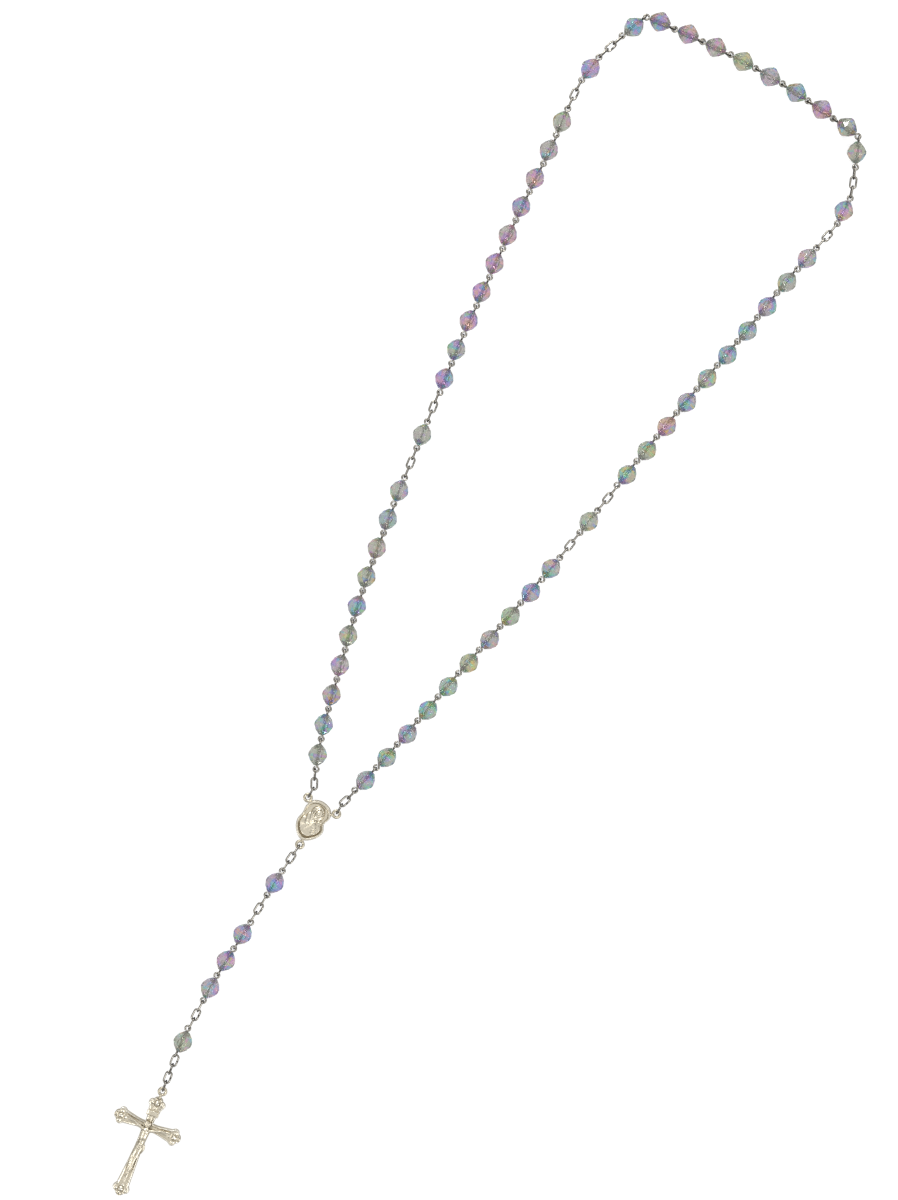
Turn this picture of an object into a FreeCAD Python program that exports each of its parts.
"""A five-decade rosary laid out flat: beads on wire eye pins, oval links, a centrepiece and a crucifix.

Millimetres. +Z is up, the surface it lies on is z = 0, and the origin is the middle of the
centrepiece's back. +Y runs from the crucifix to the top of the loop, +X to the right.
A chain run has its own frame: local X along the chain, local Z up.
"""
import FreeCAD, Part
import math
import os

Vec = FreeCAD.Vector

# Wire and chain
WIRE = 0.35                 # radius of all wire
PLAY = 0.10                 # gap between two wires pulled tight on each other
EYE = 0.95                  # centre-line radius of an eye
LINK_END = 1.10             # centre-line radius of a link's round end
LINK_STRAIGHT = 2.23        # distance between the centres of a link's two ends
EAR, EAR_WIRE = 1.30, 0.55  # cast ring: centre-line radius and thickness radius

# Beads
BEAD_LENGTH = 8.0
BEAD_BORE = 0.45
FACETS = 8
BELLY = 3.75                # radius to the edges of the widest band
BEAD_RINGS = ((1.0, -4.0, 0), (2.6, -2.45, 1), (BELLY, -0.5, 0),
              (BELLY, 0.5, 0), (2.6, 2.45, 1), (1.0, 4.0, 0))     # radius, place, half step
EYE_OFFSET = 1.35           # bead end to eye centre

# Heights above the surface
BEAD_HEIGHT = BELLY * math.cos(math.pi / FACETS)   # a bead lies on one flat
EAR_HEIGHT = 1.5

# Spacing between the centres of two interlocked loops
EYE_TO_EYE = 2 * EYE - 2 * WIRE - PLAY
EYE_TO_LINK = EYE + LINK_END - 2 * WIRE - PLAY
LINK_TO_LINK = 2 * LINK_END - 2 * WIRE - PLAY
EAR_TO_LINK = EAR + LINK_END - EAR_WIRE - WIRE - PLAY
OPEN_SLACK = 0.15           # further gap where the loop is opened at its top
PIN_SPAN = BEAD_LENGTH + 2 * EYE_OFFSET

# Centrepiece ears and crucifix
EARS = {"left": Vec(-6.2, 6.4, EAR_HEIGHT), "right": Vec(6.2, 6.4, EAR_HEIGHT),
        "bottom": Vec(0.0, -10.4, EAR_HEIGHT)}
CROSS_TURN = math.radians(6.7)     # the crucifix lies a little askew

# Lines that the two sides of the loop follow, from the ears to the corners at the top
SIDE_GUIDES = {
    "left": ((-6.2, 11.0), (-14.4, 32.0), (-20.3, 54.6), (-25.9, 76.8), (-30.4, 99.5),
             (-34.0, 123.0), (-37.0, 145.5), (-42.0, 180.0), (-45.2, 210.0), (-48.2, 245.0),
             (-50.5, 276.0), (-51.4, 299.4), (-48.0, 311.5), (-42.6, 326.0)),
    "right": ((6.2, 11.0), (12.0, 34.4), (18.9, 70.0), (26.0, 104.4), (30.6, 130.0),
              (33.6, 149.4), (37.2, 171.0), (43.0, 205.0), (49.5, 240.0), (55.4, 275.0),
              (57.9, 299.0), (54.0, 309.5), (48.6, 321.8))}
TOP_RISES = (0.0, 1.9, 2.9, 2.6, 1.3, 0.0)    # rise of the top row above its corners, evenly spaced
PENDANT_GUIDE = ((0.0, -10.4), (-1.0, -27.6), (-1.8, -50.0), (-2.4, -66.0), (-2.0, -82.0),
                 (-1.1, -96.0), (0.3, -108.0), (1.9, -118.0))


GUIDE_STEP = 0.5            # spacing of the points that stand for a guide line


def unit(angle):
    return Vec(math.cos(angle), math.sin(angle), 0)


def place(shape, point, turn, pitch=0.0):
    """Copy of a shape built along local X, put at a point, turned in plan and pitched up."""
    copy = shape.copy()
    tilt = FreeCAD.Rotation(Vec(0, 1, 0), -math.degrees(pitch))
    yaw = FreeCAD.Rotation(Vec(0, 0, 1), math.degrees(turn))
    copy.Placement = FreeCAD.Placement(point, yaw * tilt)
    return copy


def fuse(shapes):
    return shapes[0].fuse(shapes[1:]).removeSplitter()


# ---- Beads, pins and links, each built along local X about its middle ----

def polygon_face(points):
    return Part.Face(Part.makePolygon(points + points[:1]))


def make_bead():
    step = 2 * math.pi / FACETS
    rings = []
    for radius, along, half in BEAD_RINGS:
        angles = [(k + 0.5 + 0.5 * half) * step for k in range(FACETS)]
        rings.append([Vec(along, radius * math.cos(a), radius * math.sin(a)) for a in angles])
    faces = [polygon_face(rings[0]), polygon_face(rings[-1])]
    halves = [ring[2] for ring in BEAD_RINGS]
    for i in range(len(rings) - 1):
        low, high = rings[i], rings[i + 1]
        for k in range(FACETS):
            n = (k + 1) % FACETS
            if halves[i] == halves[i + 1]:
                faces.append(polygon_face([low[k], low[n], high[n], high[k]]))
            elif halves[i + 1]:
                faces.append(polygon_face([low[k], low[n], high[k]]))
                faces.append(polygon_face([low[n], high[n], high[k]]))
            else:
                faces.append(polygon_face([low[k], high[n], high[k]]))
                faces.append(polygon_face([low[k], low[n], high[n]]))
    solid = Part.makeSolid(Part.makeShell(faces))
    if solid.Volume < 0:
        solid.reverse()
    bore = Part.makeCylinder(BEAD_BORE, 2 * BEAD_LENGTH, Vec(-BEAD_LENGTH, 0, 0), Vec(1, 0, 0))
    return solid.cut(bore)


def ring(radius, wire, centre, axis):
    return Part.makeTorus(radius, wire, centre, axis)


def make_pin(far_flat):
    """Wire through a bead with an eye bent at each end. The near eye always lies flat."""
    reach = PIN_SPAN / 2
    stem = Part.makeCylinder(WIRE, PIN_SPAN - 2 * EYE, Vec(-reach + EYE, 0, 0), Vec(1, 0, 0))
    near = ring(EYE, WIRE, Vec(-reach, 0, 0), Vec(0, 0, 1))
    far_axis = Vec(0, 0, 1) if far_flat else Vec(0, 1, 0)
    far = ring(EYE, WIRE, Vec(reach, 0, 0), far_axis)
    return fuse([stem, near, far])


def make_link(flat):
    """Oval link about its middle."""
    half = LINK_STRAIGHT / 2
    normal = Vec(0, 0, 1) if flat else Vec(0, 1, 0)
    side = Vec(0, 1, 0) if flat else Vec(0, 0, 1)
    start = side * -LINK_END
    pieces = []
    for sign in (1, -1):
        centre = Vec(sign * half, 0, 0)
        disc = Part.Face(Part.Wire(Part.makeCircle(WIRE, centre + start, Vec(1, 0, 0))))
        turn = 180 * sign * (1 if flat else -1)
        pieces.append(disc.revolve(centre, normal, turn))
        wire = Part.makeCylinder(WIRE, LINK_STRAIGHT, Vec(-half, 0, 0) + side * sign * LINK_END,
                                 Vec(1, 0, 0))
        pieces.append(wire)
    return fuse(pieces)


BEAD = make_bead()
PIN_MIXED, PIN_FLAT = make_pin(False), make_pin(True)
LINK_FLAT, LINK_EDGE = make_link(True), make_link(False)


# ---- Chain layout: a polyline whose corners are the centres of the loops that lie flat ----

class Walker:
    """Steps along a guide line, one rigid run at a time, and collects solids by node."""

    def __init__(self, start, heading, guide, nodes):
        self.point = Vec(start.x, start.y, start.z)
        self.heading = heading
        self.guide = guide
        self.place_on_guide = 0.0
        self.nodes = nodes
        self.pivots = {}

    def aim(self, length):
        """Turn towards the guide's point one run further on."""
        high = self.place_on_guide
        flat_point = Vec(self.point.x, self.point.y, 0)
        while (guide_point(self.guide, high) - flat_point).Length < length:
            high += length / 4
        low = high - length / 4
        for _ in range(40):
            middle = (low + high) / 2
            if (guide_point(self.guide, middle) - flat_point).Length < length:
                low = middle
            else:
                high = middle
        self.place_on_guide = high
        aimed = guide_point(self.guide, high) - flat_point
        self.heading = math.atan2(aimed.y, aimed.x)

    def note(self, name, value):
        """Keep a hinge point or heading under a name; the first piece of a node gives it."""
        self.pivots.setdefault(name, value)

    def add(self, node, shape, middle, pitch=0.0):
        if self.nodes is not None:
            self.nodes.setdefault(node, []).append(place(shape, middle, self.heading, pitch))

    def forward(self, length, rise=0.0):
        return self.point + unit(self.heading) * length + Vec(0, 0, rise)

    def edge_link(self, node, before, after, rise=0.0, heading=None):
        """On-edge link between two flat loops; it alone slopes where their heights differ."""
        pitch = math.asin(rise / LINK_STRAIGHT)
        flat_length = LINK_STRAIGHT * math.cos(pitch)
        if heading is None:
            self.aim(before + flat_length + after)
        else:
            self.heading = heading
        self.note(node + "_near_flat", self.point)
        self.note(node + "_near", self.forward(before))
        self.note(node + "_far", self.forward(before + flat_length, rise))
        self.add(node, LINK_EDGE, self.forward(before + flat_length / 2, rise / 2), pitch)
        self.note(node + "_heading", self.heading)
        self.point = self.forward(before + flat_length + after, rise)

    def flat_link(self, node):
        self.aim(LINK_STRAIGHT)
        self.add(node, LINK_FLAT, self.forward(LINK_STRAIGHT / 2))
        self.point = self.forward(LINK_STRAIGHT)

    def three_links(self, nodes, before, rise=0.0, after=EYE_TO_LINK):
        """On edge, flat, on edge; nodes names the three pieces."""
        self.edge_link(nodes[0], before, LINK_TO_LINK, rise / 2)
        self.flat_link(nodes[1])
        self.edge_link(nodes[2], LINK_TO_LINK, after, rise / 2)

    def bead(self, bead_node, pin_node, far_flat, slack=0.0):
        length = PIN_SPAN + (0 if far_flat else EYE_TO_EYE - slack)
        self.aim(length)
        middle = self.forward(PIN_SPAN / 2)
        self.note(bead_node + "_near", self.point)
        self.note(bead_node + "_middle", middle)
        self.note(bead_node + "_heading", self.heading)
        self.note(bead_node + "_far", self.forward(PIN_SPAN))
        self.add(bead_node, BEAD, middle)
        self.add(pin_node, PIN_FLAT if far_flat else PIN_MIXED, middle)
        self.point = self.forward(length)

    def bead_row(self, name, count, last_far_flat, slack):
        for i in range(count):
            self.bead("beads_" + name, "pins_" + name, last_far_flat and i == count - 1, slack)


def guide_curve(points, stretch=1.0):
    curve = Part.BSplineCurve()
    curve.interpolate([Vec(x, points[0][1] + (y - points[0][1]) * stretch, 0) for x, y in points])
    count = int(curve.length() / GUIDE_STEP)
    return curve, curve.length(), curve.discretize(Number=count + 1)


def guide_point(guide, distance):
    """Point at a distance along the guide; past its end the line runs straight on."""
    _, length, points = guide
    step = length / (len(points) - 1)
    index = min(int(distance / step), len(points) - 2)
    share = distance / step - index
    return points[index] + (points[index + 1] - points[index]) * share


# Slack in each decade: how far neighbouring eyes are pushed together
DECADE_SLACK = {"decade_1": 0.25, "decade_2": 0.0, "decade_3_left": 0.0,
                "decade_3_right": 0.0, "decade_4": 0.05, "decade_5": 0.05}


def walk_side(side, guide, nodes):
    """One side of the loop, from its ear up to the corner at the top."""
    left = side == "left"
    decades = ("decade_1", "decade_2", "decade_3_left")
    fathers = ("our_father_1", "our_father_2")
    if not left:
        decades = ("decade_5", "decade_4", "decade_3_right")
        fathers = ("our_father_4", "our_father_3")
    walker = Walker(EARS[side], math.pi / 2, guide, nodes)
    rise = BEAD_HEIGHT - EAR_HEIGHT
    walker.edge_link("link_" + side + "_ear", EAR_TO_LINK, LINK_TO_LINK, rise / 2, math.pi / 2)
    lower = "links_" + side + "_ear"
    walker.flat_link(lower)
    walker.edge_link(lower, LINK_TO_LINK, EYE_TO_LINK, rise / 2)
    walker.bead_row(decades[0], 10, True, DECADE_SLACK[decades[0]])
    chains = ((decades[0], fathers[0], decades[1]), (decades[1], fathers[1], decades[2]))
    for level, (below, father, above) in enumerate(chains):
        walker.three_links(["links_" + below + "_top"] * 3, EYE_TO_LINK)
        walker.bead("bead_" + father, "pin_" + father, True)
        walker.three_links(["links_" + above + "_start"] * 3, EYE_TO_LINK)
        if level == 0:
            walker.bead_row(above, 10, True, DECADE_SLACK[above])
        else:
            walker.bead("bead_corner_" + side, "pin_corner_" + side, False, DECADE_SLACK[above])
    return walker


def side_stretch(side):
    """Stretch of a side guide's height at which the side's last run ends at the corner."""
    low, high = 0.9, 1.1
    for _ in range(24):
        middle = (low + high) / 2
        guide = guide_curve(SIDE_GUIDES[side], middle)
        if walk_side(side, guide, None).place_on_guide > guide[1]:
            low = middle
        else:
            high = middle
    return (low + high) / 2


def top_guide(start, end):
    """Shallow arch from one top corner to the other."""
    count = len(TOP_RISES) - 1
    line = [start + (end - start) * (i / count) for i in range(count + 1)]
    return guide_curve([(p.x, p.y + rise) for p, rise in zip(line, TOP_RISES)])


def walk_top(walker, guide, slack, left, nodes):
    """Four more beads of the third decade, from a corner to the opened pivot."""
    top = Walker(walker.point, 0.0, guide, nodes)
    top.bead_row("decade_3_left" if left else "decade_3_right", 4, left, slack)
    return top.point


def top_slack(left, right, guides):
    """Slack at which the two halves of the top row meet."""
    low, high = -0.6, 1.4
    for _ in range(30):
        middle = (low + high) / 2
        ends = [walk_top(walker, guide, middle, walker is left, None)
                for walker, guide in zip((left, right), guides)]
        if ends[0].x > ends[1].x - OPEN_SLACK:
            low = middle
        else:
            high = middle
    return (low + high) / 2


def walk_loop(nodes):
    """Both halves of the loop; returns their hinge points, meeting points included."""
    walkers = []
    for side in ("left", "right"):
        guide = guide_curve(SIDE_GUIDES[side], side_stretch(side))
        walkers.append(walk_side(side, guide, nodes))
    left, right = walkers
    guides = (top_guide(left.point, right.point), top_guide(right.point, left.point))
    slack = top_slack(left, right, guides)
    pivots = dict(left.pivots, **right.pivots)
    pivots["meeting_left"] = walk_top(left, guides[0], slack, True, nodes)
    pivots["meeting_right"] = walk_top(right, guides[1], slack, False, nodes)
    pivots["corner_left"], pivots["corner_right"] = left.point, right.point
    return pivots


def walk_pendant(nodes):
    """From the bottom ear down to the crucifix; returns the walker, whose point is its ring."""
    walker = Walker(EARS["bottom"], -math.pi / 2, guide_curve(PENDANT_GUIDE), nodes)
    rise = BEAD_HEIGHT - EAR_HEIGHT
    walker.three_links(["link_pendant_ear"] + ["links_pendant_upper"] * 2, EAR_TO_LINK, rise)
    walker.bead("bead_pendant_father_1", "pin_pendant_father_1", True)
    walker.three_links(["link_pendant_middle"] + ["links_pendant_middle"] * 2, EYE_TO_LINK)
    for number in (1, 2, 3):
        walker.bead("bead_hail_mary_%d" % number, "pin_hail_mary_%d" % number, number == 3)
    walker.three_links(["link_pendant_lower"] + ["links_pendant_lower"] * 2, EYE_TO_LINK)
    walker.bead("bead_pendant_father_2", "pin_pendant_father_2", False, EYE_TO_EYE - EYE_TO_LINK)
    walker.flat_link("links_crucifix")
    walker.edge_link("links_crucifix", LINK_TO_LINK, LINK_TO_LINK, -rise / 2)
    walker.flat_link("links_crucifix")
    walker.edge_link("link_crucifix_ring", LINK_TO_LINK, EAR_TO_LINK, -rise / 2)
    return walker


# ---- Cast pieces ----

PLATE = 1.5                 # thickness of the cast plates
RIM = 2.3                   # top of the raised rims
MEDAL_OUTLINE = ((-5.3, 3.6), (-3.9, 6.5), (-0.6, 7.8), (3.2, 6.8), (4.9, 3.9), (4.1, 0.6),
                 (5.2, -2.2), (4.2, -5.2), (1.2, -8.0), (-1.6, -8.2), (-4.4, -5.8),
                 (-5.7, -2.6), (-5.2, 0.6))


def closed_curve(points, height=0.0, scale=1.0):
    curve = Part.BSplineCurve()
    curve.interpolate([Vec(x * scale, y * scale, height) for x, y in points], PeriodicFlag=True)
    return Part.Wire(curve.toShape())


def slab(wire, thickness):
    return Part.Face(wire).extrude(Vec(0, 0, thickness))


def dome(centre, size):
    """Ellipsoid given by its half sizes."""
    ball = Part.makeSphere(1.0)
    matrix = FreeCAD.Matrix()
    matrix.scale(size[0], size[1], size[2])
    ball = ball.transformGeometry(matrix)
    ball.translate(Vec(*centre))
    return ball


def ear_ring(centre, towards, foot):
    """Cast ring lying flat, on a short neck that runs to the plate."""
    body = ring(EAR, EAR_WIRE, centre, Vec(0, 0, 1))
    direction = (towards - centre)
    direction.z = 0
    direction.normalize()
    start = centre + direction * EAR
    neck = Part.makeCylinder(EAR_WIRE, foot, start, direction)
    return body.fuse(neck)


MEDAL_RIM_INSIDE = 0.84     # inner edge of the rim, as a share of the outline
MEDAL_HEAD = ((-0.3, 2.6, PLATE), (2.1, 2.7, 1.2))         # centre and half sizes
MEDAL_SHOULDERS = ((-0.6, -2.4, PLATE), (3.4, 3.3, 1.0))
MEDAL_FACE = ((0.5, 2.3, PLATE + 0.4), (1.2, 1.6, 1.0))
MEDAL_EAR_NECKS = {"left": (Vec(0, 2.0, 0), 1.6), "right": (Vec(0, 2.0, 0), 2.2),
                   "bottom": (Vec(0, 0, 0), 1.4)}          # aim point and length


def make_centerpiece():
    """Plate with a raised rim and a veiled bust in low relief, and three rings cast on."""
    plate = slab(closed_curve(MEDAL_OUTLINE), PLATE)
    rim = slab(closed_curve(MEDAL_OUTLINE), RIM).cut(
        slab(closed_curve(MEDAL_OUTLINE, PLATE, MEDAL_RIM_INSIDE), RIM))
    bust = [dome(*shape) for shape in (MEDAL_HEAD, MEDAL_SHOULDERS, MEDAL_FACE)]
    body = fuse([plate, rim] + bust)
    body = body.common(slab(closed_curve(MEDAL_OUTLINE), PLATE + RIM))
    ears = [ear_ring(EARS[name], *neck) for name, neck in MEDAL_EAR_NECKS.items()]
    return fuse([body] + ears)


# The crucifix in its own frame: the ring's centre is the origin and -Y runs down the shaft
CROSS_CENTRE = -14.4
CROSS_BOTTOM = -42.5
CROSS_ARM = 13.4
CROSS_PLATE = 1.6
SHAFT_HALF = 1.9            # half width where the arms are narrowest
FLARE_HALF = 3.3            # half width across a flared end
TOP_START = -2.6


def flared_arm(length, half=SHAFT_HALF, flare=FLARE_HALF):
    """Arm along +X from the crossing: concave sides, then a three-lobed end."""
    shoulder = length - 4.6
    points = [Vec(0, -half, 0), Vec(shoulder * 0.55, -half * 0.92, 0), Vec(shoulder, -half * 1.3, 0),
              Vec(length - 2.9, -flare, 0)]
    curve = Part.BSplineCurve()
    curve.interpolate(points)
    low_lobe = Part.Arc(points[-1], Vec(length - 1.2, -flare * 0.86, 0),
                        Vec(length - 1.35, -flare * 0.42, 0))
    tip = Part.Arc(Vec(length - 1.35, -flare * 0.42, 0), Vec(length, 0, 0),
                   Vec(length - 1.35, flare * 0.42, 0))
    lower = [curve.toShape(), low_lobe.toShape()]
    mirror = [edge.mirror(Vec(0, 0, 0), Vec(0, 1, 0)) for edge in lower]
    base = Part.LineSegment(Vec(0, half, 0), Vec(0, -half, 0)).toShape()
    wire = Part.Wire(Part.__sortEdges__(lower + [tip.toShape()] + mirror + [base]))
    return Part.Face(wire)


def make_cross():
    arms = []
    for angle, length in ((0, CROSS_ARM), (180, CROSS_ARM), (90, TOP_START - CROSS_CENTRE),
                          (-90, CROSS_CENTRE - CROSS_BOTTOM)):
        face = flared_arm(length)
        face.rotate(Vec(0, 0, 0), Vec(0, 0, 1), angle)
        arms.append(face.extrude(Vec(0, 0, CROSS_PLATE)))
    body = fuse(arms)
    body.translate(Vec(0, CROSS_CENTRE, 0))
    ears = ear_ring(Vec(0, 0, EAR_HEIGHT), Vec(0, CROSS_CENTRE, 0), 2.4)
    return fuse([body, ears])


def limb(start, end, thick_start, thick_end):
    """Round limb between two points, a smooth profile turned about its own line."""
    start, end = Vec(*start), Vec(*end)
    span = end - start
    length = span.Length
    profile = [Vec(-0.9 * thick_start, 0, 0), Vec(-0.3 * thick_start, 0, 0.9 * thick_start),
               Vec(0.5 * length, 0, 0.52 * (thick_start + thick_end)),
               Vec(length + 0.3 * thick_end, 0, 0.9 * thick_end),
               Vec(length + 0.9 * thick_end, 0, 0)]
    curve = Part.BSplineCurve()
    curve.interpolate(profile)
    axis = Part.LineSegment(profile[-1], profile[0]).toShape()
    face = Part.Face(Part.Wire([curve.toShape(), axis]))
    body = face.revolve(Vec(0, 0, 0), Vec(1, 0, 0), 360)
    body.Placement = FreeCAD.Placement(start, FreeCAD.Rotation(Vec(1, 0, 0), span))
    return body


def make_corpus():
    """Figure on the cross, cast on its own and fixed to the cross face."""
    level = CROSS_PLATE + 0.45
    cy = CROSS_CENTRE
    limbs = [limb((0.1, cy - 1.8, level), (0.2, cy - 6.6, level), 1.45, 1.2),       # chest
             limb((0.3, cy - 6.4, level), (0.2, cy - 9.0, level), 1.35, 1.15),      # loincloth
             limb((0.3, cy - 1.0, level), (-8.4, cy + 1.0, level), 0.7, 0.5),       # arms
             limb((-0.3, cy - 1.05, level), (8.4, cy + 1.0, level), 0.7, 0.5),
             limb((-0.4, cy - 8.4, level), (-0.1, cy - 15.0, level), 0.9, 0.75),    # thighs
             limb((0.7, cy - 8.4, level), (0.4, cy - 15.0, level), 0.9, 0.75),
             limb((0.1, cy - 14.6, level), (0.0, cy - 20.0, level), 0.85, 0.5),     # shins
             limb((-0.3, cy + 0.2, level + 0.1), (-0.5, cy + 2.2, level + 0.3), 1.0, 1.0)]
    above = Part.makeBox(40, 60, 10, Vec(-20, CROSS_BOTTOM, CROSS_PLATE))
    body = limbs[0].common(above)
    for piece in limbs[1:]:
        body = body.fuse(piece.common(above))
    return body


def make_scroll():
    """Blank title scroll above the head."""
    plate = Part.makeBox(5.0, 2.0, 0.7, Vec(-2.5, CROSS_CENTRE + 4.4, CROSS_PLATE))
    return plate.makeFillet(0.3, plate.Edges[8:12])


def build():
    """All nodes as a dictionary of solids, and the hinge points."""
    nodes = {}
    pivots = walk_loop(nodes)
    pendant = walk_pendant(nodes)
    pivots.update(pendant.pivots)
    ring_point = pendant.point
    pivots["cross_ring"] = ring_point
    nodes["centerpiece"] = [make_centerpiece()]
    base = Vec(ring_point.x, ring_point.y, 0)
    for name, solid in (("cross", make_cross()), ("corpus", make_corpus()),
                        ("title_scroll", make_scroll())):
        nodes[name] = [place(solid, base, CROSS_TURN)]
    return nodes, pivots


os.makedirs("parts", exist_ok=True)
NODES, PIVOTS = build()
for node_name, solids in NODES.items():
    shape = solids[0] if len(solids) == 1 else Part.makeCompound(solids)
    shape.exportStep("parts/" + node_name + ".step")
print(len(NODES), "nodes,", sum(len(v) for v in NODES.values()), "solids")
print("meeting gap", (PIVOTS["meeting_left"] - PIVOTS["meeting_right"]).Length)
